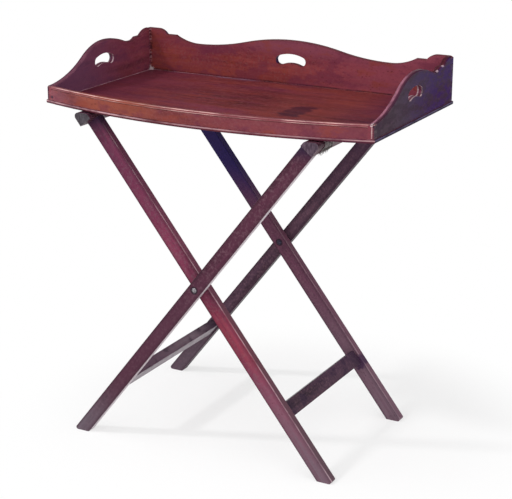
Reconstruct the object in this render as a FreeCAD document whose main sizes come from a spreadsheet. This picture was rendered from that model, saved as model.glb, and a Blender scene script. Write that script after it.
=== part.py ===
# Butlers tray table: a scroll-cut mahogany tray on a folding cross stand with webbing.
# Millimetres. +X to the right, +Y to the back, +Z up. Origin on the floor, under the middle of the tray.

import FreeCAD, Part
import math
import os
import re

import Sketcher

Vector = FreeCAD.Vector

# Driving dimensions
sizes = {
    # Tray boards
    "tray_width": 755,  # over the side boards
    "corner_depth": 401,  # front corner to back of the back board
    "front_bow": 60,  # how far the front swells past its corners
    "tray_height": 724,  # floor to the underside of the tray
    "board_thickness": 12,
    "floor_thickness": 8,
    "floor_overhang": 2.5,
    "front_height": 28.5,  # this and the heights below are above the tray's floor
    "front_round": 4,
    "bead_depth": 1.2,
    "bead_drop": 6,
    "ear_height": 96.5,
    "ear_end_run": 8,  # the back board's ears fall away towards their ends
    "ear_end_drop": 3,
    "edge_bevel": 2.2,
    # Back board's scroll: down from the ear to the step and the low, up to the hump, in from each end
    "back_ear_drop": 12,
    "back_cove_drop": 16,
    "back_hump_rise": 29,
    "back_ear_run": 24,
    "back_ear_reach": 56.5,
    "back_step_reach": 80,
    "back_low_reach": 140,
    # Side boards' scroll: the same steps, forward from the back of the tray, then a sweep to the front
    "side_ear_drop": 12.5,
    "side_cove_drop": 6,
    "side_hump_rise": 18.5,
    "side_ear_run": 33,
    "side_ear_reach": 50,
    "side_step_reach": 71,
    "side_low_reach": 90,
    "side_hump_reach": 194,
    "side_rise_share": 0.3,  # of the way to the hump, where the hollow turns into the hump
    "side_sweep_reach": 415,
    "side_sweep_share": 0.37,  # of the way down, where the hump turns into the hollow
    # Hand holes
    "hole_length": 74,
    "hole_width": 21,
    "hole_rise": 5,
    "hole_height": 57,
    "side_hole_reach": 202,
    # Dovetails at the tray's corners
    "back_tail_count": 4,
    "front_tail_count": 2,
    "tail_share": 0.66,
    "tail_slope_share": 0.16,
    # Nails from below
    "nail_width": 2.6,
    "nail_length": 24,
    "nail_head_width": 7,
    "nail_head_height": 1.4,
    # Stand
    "stand_depth": 422,  # over the outer legs
    "stand_setback": 3,  # behind the middle of the tray
    "pivot_height": 377,
    "leg_lean": 38,  # degrees from upright
    "leg_width": 30,
    "leg_thickness": 21,
    "leg_round": 1.5,
    "foot_round": 5,
    "leg_gap": 1.5,
    "rail_width": 31,
    "rail_depth": 24,  # at the middle of its level top
    "rail_round": 8,
    "rail_overhang": 4,
    "stretcher_height": 131,
    "stretcher_width": 34,
    "stretcher_thickness": 20,
    "stretcher_round": 1.2,
    "tenon_thickness": 9,
    "tenon_shoulder": 4,
    "rail_tenon_length": 10,
    "stretcher_tenon_length": 14,
    # Pivots
    "rivet_diameter": 8,
    "rivet_head_diameter": 11.5,
    "rivet_head_height": 2,
    "washer_diameter": 19,
    # Webbing and its tacks
    "strap_width": 44,
    "strap_thickness": 1.5,
    "strap_inset": 29,  # in from the ends of the rails
    "strap_turn_down": 18,  # length on the rail's outer face
    "tack_count": 4,
    "tack_drop": 8,
    "tack_width": 1.6,
    "tack_length": 5.5,
    "tack_head_width": 7,
    "tack_head_height": 1.6,
    # Fits
    "wood_fit": 0.1,
    "rivet_fit": 0.05,
    "nail_fit": 0.05,
    "washer_fit": 0.1,
    "strap_fit": 0.3,
    "cut_overrun": 5,
}

doc = FreeCAD.newDocument("ButlersTrayTable")
sheet = doc.addObject("Spreadsheet::Sheet", "Sizes")
for row, (alias, number) in enumerate(sizes.items(), start=1):
    sheet.set(f"A{row}", alias)
    sheet.set(f"B{row}", str(number))
    sheet.setAlias(f"B{row}", alias)
doc.recompute()


# Expressions and their values

def formula(text):
    def cell(word):
        name = word.group()
        return "Sizes." + name if name in sizes else name
    return re.sub(r"[a-z][a-z_]*", cell, text)


def value(text):
    return float(sheet.evalExpression(formula(text)))


def bind(thing, name, text):
    thing.setExpression(name, formula(text))


# Outlines: each step goes on to a point, straight or along an arc, and the last point closes the loop

def line(x, y):
    return x, y, None, False


def left_arc(x, y, radius):
    return x, y, radius, True


def right_arc(x, y, radius):
    return x, y, radius, False


def arc_geometry(start, end, radius, turns_left):
    chord = end - start
    half = chord.Length / 2
    rise = math.sqrt(max(radius * radius - half * half, 0))
    side = Vector(-chord.y, chord.x, 0).normalize()
    middle = (start + end) / 2
    centre = middle + side * rise if turns_left else middle - side * rise
    first, last = (start, end) if turns_left else (end, start)
    angles = [math.atan2(p.y - centre.y, p.x - centre.x) for p in (first, last)]
    if angles[1] < angles[0]:
        angles[1] += 2 * math.pi
    return Part.ArcOfCircle(Part.Circle(centre, Vector(0, 0, 1), radius), *angles)


def draw(sketch, outline):
    points = [Vector(value(x), value(y), 0) for x, y, radius, turns_left in outline]
    first = sketch.GeometryCount
    starts = []
    ends = []
    for index, (x, y, radius, turns_left) in enumerate(outline):
        start = points[index - 1]
        if radius is None:
            sketch.addGeometry(Part.LineSegment(start, points[index]))
        else:
            sketch.addGeometry(arc_geometry(start, points[index], value(radius), turns_left))
        forward = radius is None or turns_left
        starts.append((first + index, 1 if forward else 2))
        ends.append((first + index, 2 if forward else 1))
    for index, (x, y, radius, turns_left) in enumerate(outline):
        following = starts[(index + 1) % len(outline)]
        sketch.addConstraint(Sketcher.Constraint("Coincident", *ends[index], *following))
        across = sketch.addConstraint(Sketcher.Constraint("DistanceX", *ends[index], points[index].x))
        bind(sketch, f"Constraints[{across}]", x)
        up = sketch.addConstraint(Sketcher.Constraint("DistanceY", *ends[index], points[index].y))
        bind(sketch, f"Constraints[{up}]", y)
        if radius is not None:
            bend = sketch.addConstraint(Sketcher.Constraint("Radius", first + index, value(radius)))
            bind(sketch, f"Constraints[{bend}]", radius)


def rectangle(left, right, bottom, top):
    return [line(right, bottom), line(right, top), line(left, top), line(left, bottom)]


# Bodies and features

def new_body(label):
    body = doc.addObject("PartDesign::Body", label)
    body.Label = label
    return body


def new_sketch(body, plane, offset, outlines):
    planes = {item.Role: item for item in body.Origin.OriginFeatures}
    sketch = body.newObject("Sketcher::SketchObject", body.Name + "_sketch")
    sketch.AttachmentSupport = [(planes[plane], "")]
    sketch.MapMode = "FlatFace"
    bind(sketch, "AttachmentOffset.Base.z", offset)
    for outline in outlines:
        draw(sketch, outline)
    return sketch


def pad(body, plane, offset, outlines, length):
    feature = body.newObject("PartDesign::Pad", body.Name + "_pad")
    feature.Profile = new_sketch(body, plane, offset, outlines)
    bind(feature, "Length", length)
    doc.recompute()
    return feature


def pocket(body, plane, offset, outlines, length, along_normal):
    before = body.Shape.Volume
    feature = body.newObject("PartDesign::Pocket", body.Name + "_pocket")
    feature.Profile = new_sketch(body, plane, offset, outlines)
    feature.Reversed = along_normal
    bind(feature, "Length", length)
    doc.recompute()
    if not body.Shape.Volume < before:
        raise RuntimeError(body.Label + ": a pocket cuts nothing")
    return feature


def mirrored(body, plane, feature):
    planes = {item.Role: item for item in body.Origin.OriginFeatures}
    mirror = body.newObject("PartDesign::Mirrored", body.Name + "_mirror")
    mirror.Originals = [feature]
    mirror.MirrorPlane = (planes[plane], [""])
    body.Tip = mirror
    doc.recompute()
    return mirror


def turned(label, outline):
    body = new_body(label)
    feature = body.newObject("PartDesign::Revolution", label + "_turning")
    sketch = new_sketch(body, "XZ_Plane", "0", [outline])
    feature.Profile = sketch
    feature.ReferenceAxis = (sketch, ["V_Axis"])
    doc.recompute()
    return body


def dress_edges(kind, size_name, body, size, wanted):
    tip = body.Tip
    names = [f"Edge{number}" for number, edge in enumerate(tip.Shape.Edges, start=1) if wanted(edge)]
    feature = body.newObject(kind, body.Name + "_edges")
    feature.Base = (tip, names)
    bind(feature, size_name, size)
    doc.recompute()
    return feature


def rounded(body, radius, wanted):
    return dress_edges("PartDesign::Fillet", "Radius", body, radius, wanted)


def bevelled(body, size, wanted):
    return dress_edges("PartDesign::Chamfer", "Size", body, size, wanted)


def cut_away(label, base, *tools):
    for number, tool in enumerate(tools, start=1):
        last = number == len(tools)
        cut = doc.addObject("Part::Cut", label if last else f"{label}_cut_{number}")
        cut.Base = base
        cut.Tool = tool
        cut.Refine = True
        base = cut
    base.Label = label
    doc.recompute()
    return base


def shaped(label, solids):
    feature = doc.addObject("Part::Feature", label)
    feature.Shape = solids[0] if len(solids) == 1 else Part.makeCompound(solids)
    feature.Label = label
    return feature


def is_long(edge, direction, least):
    if not isinstance(edge.Curve, Part.Line):
        return False
    return edge.Length > least and abs(edge.Curve.Direction.dot(direction)) > math.cos(math.radians(1))


# Places that several pieces share
half_width = "(tray_width / 2)"
side_inner = "(tray_width / 2 - board_thickness)"
tray_back = "((corner_depth + front_bow) / 2)"
tray_front = "(-(corner_depth + front_bow) / 2)"
front_corner = "(front_bow / 2 - corner_depth / 2)"
floor_top = "(tray_height + floor_thickness)"
front_top = "(tray_height + floor_thickness + front_height)"
ear_top = "(tray_height + floor_thickness + ear_height)"
bow_radius = "(((tray_width / 2) ^ 2 + front_bow ^ 2) / (2 * front_bow))"
bow_centre = f"({tray_front} + {bow_radius})"


def bow_front(x, growth):
    return f"({bow_centre} - sqrt(({bow_radius} + {growth}) ^ 2 - ({x}) ^ 2))"


def cove_radius(run, rise):
    return f"((({run}) ^ 2 + ({rise}) ^ 2) / (2 * ({rise})))"


# Two arcs that share a run and a rise and turn into each other part of the way: the first one's radius
def ogee_radius(run, rise, share):
    return f"({share} * {cove_radius(run, rise)})"


def part_way(start, end, share):
    return f"({start} + {share} * ({end} - {start}))"


# Tray floor: a board with a bowed front and a rounded edge all round
def make_tray_floor():
    body = new_body("tray_floor_board")
    edge = f"({half_width} + floor_overhang)"
    back = f"({tray_back} + floor_overhang)"
    front = bow_front(edge, "floor_overhang")
    outline = [
        left_arc(edge, front, f"({bow_radius} + floor_overhang)"),
        line(edge, back),
        line(f"-{edge}", back),
        line(f"-{edge}", front),
    ]
    pad(body, "XY_Plane", "tray_height", [outline], "floor_thickness")
    rounded(body, "floor_overhang", lambda e: abs(e.BoundBox.ZLength) < value("floor_overhang"))
    return body


# Tails of the corner joints, as seen from the side: wider towards the end of the side board
def tail_outlines(count, height, root, end):
    pitch = f"({height} / {count})"
    spread = f"(tail_slope_share * abs({end} - {root}))"
    outlines = []
    for index in range(int(value(count))):
        middle = f"({floor_top} + {pitch} * ({index} + 1 / 2))"
        narrow = f"({pitch} * tail_share / 2 - {spread} / 2)"
        wide = f"({pitch} * tail_share / 2 + {spread} / 2)"
        outlines.append([
            line(root, f"{middle} - {narrow}"),
            line(end, f"{middle} - {wide}"),
            line(end, f"{middle} + {wide}"),
            line(root, f"{middle} + {narrow}"),
        ])
    return outlines


# Sockets for the tails, at the right end and then at the left end of a board
def cut_tail_sockets(body, outlines):
    pocket(body, "YZ_Plane", side_inner, outlines, "board_thickness + cut_overrun", True)
    pocket(body, "YZ_Plane", f"-{side_inner}", outlines, "board_thickness + cut_overrun", False)


# Bowed front bar with the pins of its corner joints, its two long upper edges rounded or still square
def is_upper_front_edge(edge):
    return edge.BoundBox.ZMin > value(front_top) - value("wood_fit") and edge.Length > value(half_width)


def make_front_bar(label, is_rounded):
    body = new_body(label)
    inner_end = bow_front(half_width, "(-board_thickness)")
    outline = [
        left_arc(half_width, front_corner, bow_radius),
        line(half_width, inner_end),
        right_arc(f"-{half_width}", inner_end, f"({bow_radius} - board_thickness)"),
        line(f"-{half_width}", front_corner),
    ]
    pad(body, "XY_Plane", floor_top, [outline], "front_height")
    if is_rounded:
        rounded(body, "front_round", is_upper_front_edge)
    end = f"({bow_front(side_inner, '0')} - cut_overrun)"
    root = f"({inner_end} + cut_overrun)"
    cut_tail_sockets(body, tail_outlines("front_tail_count", "front_height", root, end))
    return body


# Front rail: the rounded bar, with a quirk that sets off a bead below its top
def make_front_rail(nail_holes):
    quirk = turned("front_bead_quirk", [
        line(f"{bow_radius} + cut_overrun", "-cut_overrun - bead_depth"),
        line(f"{bow_radius} + cut_overrun", "cut_overrun + bead_depth"),
        line(f"{bow_radius} - bead_depth", "0"),
    ])
    bind(quirk, "Placement.Base.y", bow_centre)
    bind(quirk, "Placement.Base.z", f"{front_top} - bead_drop")
    return cut_away("front_rail", make_front_bar("front_bar", True), quirk, nail_holes)


# Bean-shaped hand hole about a middle place, bowed upwards
def hand_hole(middle, height):
    reach = "(hole_length / 2 - hole_width / 2)"
    half = "(hole_width / 2)"
    radius = f"(({reach} ^ 2 + hole_rise ^ 2) / (2 * hole_rise))"
    top = f"({height} + {half})"
    low = f"({height} - {half})"
    slope_in = f"({reach} / {radius})"
    slope_up = f"(1 - hole_rise / {radius})"
    outer_x = f"({reach} + {half} * {slope_in})"
    outer_y = f"({height} - hole_rise + {half} * {slope_up})"
    inner_x = f"({reach} - {half} * {slope_in})"
    inner_y = f"({height} - hole_rise - {half} * {slope_up})"
    tip_x = f"({reach} + {half} * {slope_up})"
    tip_y = f"({height} - hole_rise - {half} * {slope_in})"
    return [
        right_arc(f"{middle} + {outer_x}", outer_y, f"({radius} + {half})"),
        right_arc(f"{middle} + {tip_x}", tip_y, half),
        right_arc(f"{middle} + {inner_x}", inner_y, half),
        left_arc(middle, low, f"({radius} - {half})"),
        left_arc(f"{middle} - {inner_x}", inner_y, f"({radius} - {half})"),
        right_arc(f"{middle} - {tip_x}", tip_y, half),
        right_arc(f"{middle} - {outer_x}", outer_y, half),
        right_arc(middle, top, f"({radius} + {half})"),
    ]


# Back board: half of its scroll, mirrored, with a hand hole and the pins of its corner joints
def is_upper_back_edge(edge):
    return edge.BoundBox.YLength < value("wood_fit") and edge.BoundBox.ZMin > value(front_top)


def make_back_board(label, is_eased):
    body = new_body(label)
    step = f"({ear_top} - back_ear_drop)"
    low = f"({step} - back_cove_drop)"
    hump = f"({low} + back_hump_rise)"

    def place(reach):
        return f"({half_width} - ({reach}))"

    if is_eased:
        end_radius = cove_radius("ear_end_run", "ear_end_drop")
        ear_end = [
            line(half_width, f"{ear_top} - ear_end_drop"),
            left_arc(place("ear_end_run"), ear_top, end_radius),
        ]
    else:
        ear_end = [line(half_width, ear_top)]
    cove = cove_radius("(back_low_reach - back_step_reach)", "back_cove_drop")
    ogee = ogee_radius(place("back_low_reach"), "back_hump_rise", "1 / 2")
    outline = [line(half_width, floor_top)] + ear_end + [
        line(place("back_ear_reach - back_ear_run"), ear_top),
        left_arc(place("back_ear_reach"), step, cove_radius("back_ear_run", "back_ear_drop")),
        line(place("back_step_reach"), step),
        right_arc(place("back_low_reach"), low, cove),
        right_arc(part_way("0", place("back_low_reach"), "1 / 2"), part_way(low, hump, "1 / 2"), ogee),
        left_arc("0", hump, ogee),
        line("0", floor_top),
    ]
    half = pad(body, "XZ_Plane", f"-{tray_back}", [outline], "board_thickness")
    mirrored(body, "YZ_Plane", half)
    if is_eased:
        bevelled(body, "edge_bevel", is_upper_back_edge)
    hole = hand_hole("0", f"({floor_top} + hole_height)")
    through = "board_thickness + 2 * cut_overrun"
    pocket(body, "XZ_Plane", f"-{tray_back} - cut_overrun", [hole], through, True)
    root = f"({tray_back} - board_thickness - cut_overrun)"
    end = f"({tray_back} + cut_overrun)"
    cut_tail_sockets(body, tail_outlines("back_tail_count", "ear_height", root, end))
    return body


# Right side board: ear, step, cove, hump over the hand hole, and a long sweep down to the front
def is_upper_side_edge(edge):
    box = edge.BoundBox
    small = value("wood_fit")
    return box.XLength < small and box.ZMin > value(front_top) - small


def make_side_board():
    body = new_body("side_board")
    step = f"({ear_top} - side_ear_drop)"
    low = f"({step} - side_cove_drop)"
    hump = f"({low} + side_hump_rise)"

    def place(reach):
        return f"({tray_back} - ({reach}))"

    def rise_radius(share):
        return ogee_radius("(side_hump_reach - side_low_reach)", "side_hump_rise", share)

    def sweep_radius(share):
        return ogee_radius("(side_sweep_reach - side_hump_reach)", f"({hump} - {front_top})", share)

    cove = cove_radius("(side_low_reach - side_step_reach)", "side_cove_drop")
    rise_turn = place(part_way("side_low_reach", "side_hump_reach", "side_rise_share"))
    sweep_turn = place(part_way("side_hump_reach", "side_sweep_reach", "side_sweep_share"))
    outline = [
        line(place("0"), floor_top),
        line(place("0"), ear_top),
        line(place("side_ear_reach - side_ear_run"), ear_top),
        left_arc(place("side_ear_reach"), step, cove_radius("side_ear_run", "side_ear_drop")),
        line(place("side_step_reach"), step),
        right_arc(place("side_low_reach"), low, cove),
        right_arc(rise_turn, part_way(low, hump, "side_rise_share"), rise_radius("side_rise_share")),
        left_arc(place("side_hump_reach"), hump, rise_radius("(1 - side_rise_share)")),
        left_arc(sweep_turn, part_way(hump, front_top, "side_sweep_share"), sweep_radius("side_sweep_share")),
        right_arc(place("side_sweep_reach"), front_top, sweep_radius("(1 - side_sweep_share)")),
        line(tray_front, front_top),
        line(tray_front, floor_top),
    ]
    pad(body, "YZ_Plane", side_inner, [outline], "board_thickness")
    bevelled(body, "edge_bevel", is_upper_side_edge)
    hole = hand_hole(place("side_hole_reach"), f"({floor_top} + hole_height)")
    through = "board_thickness + 2 * cut_overrun"
    pocket(body, "YZ_Plane", f"{side_inner} - cut_overrun", [hole], through, True)
    inside = f"({side_inner} - cut_overrun)"
    outside = f"({half_width} + cut_overrun)"
    ahead = f"({tray_front} - cut_overrun)"
    front_waste = [
        left_arc(outside, bow_front(outside, "0"), bow_radius),
        line(outside, ahead),
        line(inside, ahead),
        line(inside, bow_front(inside, "0")),
    ]
    depth = "ear_height + 2 * cut_overrun"
    pocket(body, "XY_Plane", f"{floor_top} - cut_overrun", [front_waste], depth, True)
    return body


# Forged nail or tack: a faceted head on a square shank, drawn upright and driven in against outward
crown_share = 0.5
head_sides = 8


def facet_corners(radius, height):
    turns = [2 * math.pi * number / head_sides for number in range(head_sides)]
    return [Vector(radius * math.cos(turn), radius * math.sin(turn), height) for turn in turns]


def flat_face(corners):
    return Part.Face(Part.makePolygon(corners + corners[:1]))


def faceted_head(radius, height):
    base = facet_corners(radius, 0)
    crown = facet_corners(radius * crown_share, height)
    sides = [flat_face([base[n - 1], base[n], crown[n], crown[n - 1]]) for n in range(head_sides)]
    return Part.Solid(Part.Shell([flat_face(base[::-1]), flat_face(crown)] + sides))


def nail(kind, place, outward, room):
    half = value(f"{kind}_width / 2") + room
    length = value(f"{kind}_length") + room
    solid = Part.makeBox(2 * half, 2 * half, length, Vector(-half, -half, -length))
    if not room:
        head = faceted_head(value(f"{kind}_head_width / 2"), value(f"{kind}_head_height"))
        solid = head.fuse(solid).removeSplitter()
    solid.Placement = FreeCAD.Placement(place, FreeCAD.Rotation(Vector(0, 0, 1), outward))
    return solid


# Nails up through the floor into the boards, with room round them for their holes
back_nail_shares = (-0.7, 0, 0.7)
side_nail_shares = (0.28, 0.78)
front_nail_shares = (-0.5, 0, 0.5)


def floor_nail_places():
    rim = value("board_thickness / 2")
    places = [(value(half_width) * share, value(tray_back) - rim) for share in back_nail_shares]
    for share in side_nail_shares:
        y = value(tray_back) - value("corner_depth") * share
        places += [(value(half_width) - rim, y), (rim - value(half_width), y)]
    for share in front_nail_shares:
        x = value(half_width) * share
        places.append((x, value(bow_front(x, "(-board_thickness / 2)"))))
    return places


def make_floor_nails(label, room):
    down = Vector(0, 0, -1)
    bottom = value("tray_height")
    return shaped(label, [nail("nail", Vector(x, y, bottom), down, room) for x, y in floor_nail_places()])


# Stand frames: drawn upright about the pivot, then leaned over to the right (+1) or to the left (-1)
stand_front = "(stand_setback - stand_depth / 2)"
stand_back = "(stand_setback + stand_depth / 2)"
leg_foot = "(-pivot_height / cos(leg_lean))"
leg_end = f"({leg_foot} - leg_width / 2 * tan(leg_lean))"
seat_height = "(tray_height - 2 * strap_fit - strap_thickness - pivot_height)"
rail_middle = f"({seat_height} / cos(leg_lean))"
rail_bottom = f"({rail_middle} - rail_depth)"
rail_turn = "(rail_round * tan(45 + leg_lean / 2))"
rail_shoulder = f"({rail_middle} + rail_width / 2 * tan(leg_lean) - {rail_turn})"
stretcher_middle = "((stretcher_height - pivot_height) / cos(leg_lean))"
stretcher_low = f"({stretcher_middle} - stretcher_width / 2)"
stretcher_high = f"({stretcher_middle} + stretcher_width / 2)"


def lean_over(body, lean, depth):
    body.Placement = FreeCAD.Placement(Vector(), FreeCAD.Rotation(Vector(0, lean, 0), 1))
    bind(body, "Placement.Base.y", depth)
    bind(body, "Placement.Base.z", "pivot_height")
    bind(body, "Placement.Rotation.Angle", "leg_lean")


# Rounded corner of a level cut at a right (+1) or left (-1) edge, the wood above it (+1) or below (-1):
# where the round meets the level cut, and where it meets the edge
def level_corner(lean, side, middle, width, radius, wood):
    rise = lean * side
    turn = f"({radius} * tan(45 - {wood * rise} * leg_lean / 2))"
    corner = f"({middle} + {rise} * {width} / 2 * tan(leg_lean))"
    level_x = f"{side} * ({width} / 2 - {turn} * cos(leg_lean))"
    level_y = f"{corner} - {rise} * {turn} * sin(leg_lean)"
    return (level_x, level_y), (f"{side} * {width} / 2", f"{corner} + {wood} * {turn}")


# Waste below a foot that is cut level with the floor and rounded at its corners
def foot_waste(lean):
    right_sole, right_edge = level_corner(lean, 1, leg_foot, "leg_width", "foot_round", 1)
    left_sole, left_edge = level_corner(lean, -1, leg_foot, "leg_width", "foot_round", 1)
    aside = "(leg_width / 2 + cut_overrun)"
    below = f"({leg_end} - cut_overrun)"
    return [
        line(aside, right_edge[1]),
        line(*right_edge),
        right_arc(*right_sole, "foot_round"),
        line(*left_sole),
        right_arc(*left_edge, "foot_round"),
        line(f"-{aside}", left_edge[1]),
        line(f"-{aside}", below),
        line(aside, below),
    ]


# Leg: rounded foot, tenon into the rail, mortise for the stretcher, pivot bore
def make_leg(label, lean, back_face, mortise_in_back):
    body = new_body(label)
    half = "(leg_width / 2)"
    pad(body, "XZ_Plane", "0", [rectangle(f"-{half}", half, leg_end, rail_bottom)], "leg_thickness")
    upright = Vector(0, 0, 1)
    rounded(body, "leg_round", lambda e: is_long(e, upright, value("pivot_height")))
    middle = "(-leg_thickness / 2)"
    tenon = rectangle(
        f"tenon_shoulder - {half}", f"{half} - tenon_shoulder",
        f"{middle} - tenon_thickness / 2", f"{middle} + tenon_thickness / 2",
    )
    pad(body, "XY_Plane", rail_bottom, [tenon], "rail_tenon_length")
    mortise = rectangle(
        "-tenon_thickness / 2 - wood_fit", "tenon_thickness / 2 + wood_fit",
        f"{stretcher_low} + tenon_shoulder - wood_fit", f"{stretcher_high} - tenon_shoulder + wood_fit",
    )
    mortise_depth = "stretcher_tenon_length + wood_fit"
    if mortise_in_back:
        pocket(body, "XZ_Plane", "0", [mortise], mortise_depth, True)
    else:
        pocket(body, "XZ_Plane", "leg_thickness", [mortise], mortise_depth, False)
    bore = "(rivet_diameter / 2 + rivet_fit)"
    ring = [
        left_arc("0", bore, bore),
        left_arc(f"-{bore}", "0", bore),
        left_arc("0", f"-{bore}", bore),
        left_arc(bore, "0", bore),
    ]
    through = "leg_thickness + 2 * cut_overrun"
    pocket(body, "XZ_Plane", "-cut_overrun", [ring, foot_waste(lean)], through, True)
    lean_over(body, lean, back_face)
    return body


# Top rail: its top cut level for the tray and rounded over, with a mortise for each leg's tenon
def make_top_rail(label, lean, leg_backs):
    body = new_body(label)
    half = "(rail_width / 2)"
    right_top, right_edge = level_corner(lean, 1, rail_middle, "rail_width", "rail_round", -1)
    left_top, left_edge = level_corner(lean, -1, rail_middle, "rail_width", "rail_round", -1)
    outline = [
        line(half, rail_bottom),
        line(*right_edge),
        left_arc(*right_top, "rail_round"),
        line(*left_top),
        left_arc(*left_edge, "rail_round"),
        line(f"-{half}", rail_bottom),
    ]
    back_end = f"({stand_back} + rail_overhang)"
    pad(body, "XZ_Plane", f"-{back_end}", [outline], "stand_depth + 2 * rail_overhang")
    reach = "(leg_width / 2 - tenon_shoulder + wood_fit)"
    room = "(tenon_thickness / 2 + wood_fit)"
    mortises = [
        rectangle(
            f"-{reach}", reach,
            f"{back} - leg_thickness / 2 - {room}", f"{back} - leg_thickness / 2 + {room}",
        )
        for back in leg_backs
    ]
    pocket(body, "XY_Plane", rail_bottom, mortises, "rail_tenon_length + wood_fit", True)
    lean_over(body, lean, "0")
    return body


# Lower stretcher: a bar between the legs with a tenon at each end
def make_stretcher(label, lean, front_leg_back, back_leg_front):
    body = new_body(label)
    span = f"({back_leg_front} - {front_leg_back})"
    half = "(stretcher_thickness / 2)"
    bar = rectangle(f"-{half}", half, stretcher_low, stretcher_high)
    pad(body, "XZ_Plane", f"-{back_leg_front}", [bar], span)
    along = Vector(0, 1, 0)
    rounded(body, "stretcher_round", lambda e: is_long(e, along, value(span) / 2))
    tenon = rectangle(
        "-tenon_thickness / 2", "tenon_thickness / 2",
        f"{stretcher_low} + tenon_shoulder", f"{stretcher_high} - tenon_shoulder",
    )
    start = f"(-{back_leg_front} - stretcher_tenon_length)"
    pad(body, "XZ_Plane", start, [tenon], f"{span} + 2 * stretcher_tenon_length")
    lean_over(body, lean, "0")
    return body


# Rivet through a crossing along Y: a round shank with a hammered, faceted head on each outer face
def make_rivet(label, front_face):
    grip = value("2 * leg_thickness + leg_gap + washer_fit")
    front_head = faceted_head(value("rivet_head_diameter / 2"), value("rivet_head_height"))
    back_head = front_head.copy()
    front_head.rotate(Vector(), Vector(1, 0, 0), 90)
    back_head.rotate(Vector(), Vector(1, 0, 0), -90)
    back_head.translate(Vector(0, grip, 0))
    shank = Part.makeCylinder(value("rivet_diameter / 2"), grip, Vector(), Vector(0, 1, 0))
    rivet = shaped(label, [shank.fuse([front_head, back_head]).removeSplitter()])
    bind(rivet, "Placement.Base.y", front_face)
    bind(rivet, "Placement.Base.z", "pivot_height")
    return rivet


# Faceted washers between the crossing legs, round each rivet
def make_washers(label, front_faces):
    hole = value("rivet_diameter / 2 + rivet_fit")
    radius = value("washer_diameter / 2")
    thickness = value("leg_gap - 2 * washer_fit")
    up = Vector(0, 0, 1)
    plate = flat_face(facet_corners(radius, 0)).extrude(up * thickness)
    washer = plate.cut(Part.makeCylinder(hole, thickness, Vector(), up))
    washer.rotate(Vector(), Vector(1, 0, 0), -90)
    rings = []
    for face in front_faces:
        ring = washer.copy()
        ring.translate(Vector(0, value(f"{face} + washer_fit"), value("pivot_height")))
        rings.append(ring)
    return shaped(label, rings)


# Places on a leaned frame: across the leg, and up along it from the pivot
def frame_point(lean, across, up):
    angle = math.radians(value("leg_lean"))
    x = up * math.sin(angle) + across * math.cos(angle)
    z = up * math.cos(angle) - across * math.sin(angle)
    return Vector(lean * x, 0, z + value("pivot_height"))


# One face of a strap, from the right rail's outer side over both rails to the left rail's outer side
def strap_edges(growth):
    radius = value("rail_round") + growth
    half = value("rail_width / 2") + growth
    shoulder = value(rail_shoulder)
    edges = []
    tails = []
    crowns = []
    for lean in (1, -1):
        centre = frame_point(lean, value("rail_width / 2 - rail_round"), shoulder)
        side_end = frame_point(lean, half, shoulder)
        tail = frame_point(lean, half, shoulder - value("strap_turn_down"))
        crown = centre + Vector(0, 0, radius)
        halfway = (side_end + crown) / 2 - centre
        bend = centre + halfway.normalize() * radius
        edges.append(Part.makeLine(tail, side_end))
        edges.append(Part.Arc(side_end, bend, crown).toShape())
        tails.append(tail)
        crowns.append(crown)
    edges.append(Part.makeLine(*crowns))
    return edges, tails


def make_strap(label, front, tack_holes):
    fit = value("strap_fit")
    under, under_tails = strap_edges(fit)
    over, over_tails = strap_edges(fit + value("strap_thickness"))
    ends = [Part.makeLine(*tails) for tails in zip(under_tails, over_tails)]
    wire = Part.Wire(Part.__sortEdges__(under + over + ends))
    band = Part.Face(wire).extrude(Vector(0, value("strap_width"), 0))
    band.translate(Vector(0, front, 0))
    return shaped(label, [band.cut(tack_holes.Shape)])


# Tacks through the webbing into the outer side of a rail
def make_tacks(label, lean, strap_fronts, room):
    stand_off = value("rail_width / 2 + 2 * strap_fit + strap_thickness")
    up = value(f"{rail_shoulder} - tack_drop")
    surface = frame_point(lean, stand_off, up)
    outward = surface - frame_point(lean, 0, up)
    pitch = value("strap_width / tack_count")
    solids = []
    for front in strap_fronts:
        for number in range(int(value("tack_count"))):
            y = front + pitch * (number + 1 / 2)
            solids.append(nail("tack", surface + Vector(0, y, 0), outward, room))
    return shaped(label, solids)


# Tray
nail_room = value("nail_fit")
nail_holes = make_floor_nails("nail_holes", nail_room)
floor_nails = make_floor_nails("floor_nails", 0)
tray_floor = cut_away("tray_floor", make_tray_floor(), nail_holes)
front_rail = make_front_rail(nail_holes)
back_gallery = cut_away("back_gallery", make_back_board("back_board", True), nail_holes)
front_pins = make_front_bar("front_pins", False)
back_pins = make_back_board("back_pins", False)
right_gallery = cut_away("right_gallery", make_side_board(), back_pins, front_pins, nail_holes)
left_gallery = doc.addObject("Part::Mirroring", "left_gallery")
left_gallery.Source = right_gallery
left_gallery.Normal = Vector(1, 0, 0)
left_gallery.Label = "left_gallery"

# Stand: the outer frame leans to the right and the inner frame to the left
outer_front_back = f"({stand_front} + leg_thickness)"
outer_back_front = f"({stand_back} - leg_thickness)"
inner_front_back = f"({outer_front_back} + leg_gap + leg_thickness)"
inner_back_back = f"({outer_back_front} - leg_gap)"
inner_back_front = f"({inner_back_back} - leg_thickness)"
outer_front_leg = make_leg("outer_front_leg", 1, outer_front_back, True)
outer_back_leg = make_leg("outer_back_leg", 1, stand_back, False)
inner_front_leg = make_leg("inner_front_leg", -1, inner_front_back, True)
inner_back_leg = make_leg("inner_back_leg", -1, inner_back_back, False)
outer_stretcher = make_stretcher("outer_lower_stretcher", 1, outer_front_back, outer_back_front)
inner_stretcher = make_stretcher("inner_lower_stretcher", -1, inner_front_back, inner_back_front)
front_rivet = make_rivet("front_pivot_rivet", stand_front)
back_rivet = make_rivet("back_pivot_rivet", f"{inner_back_front} - washer_fit")
pivot_washers = make_washers("pivot_washers", [outer_front_back, inner_back_back])

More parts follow.
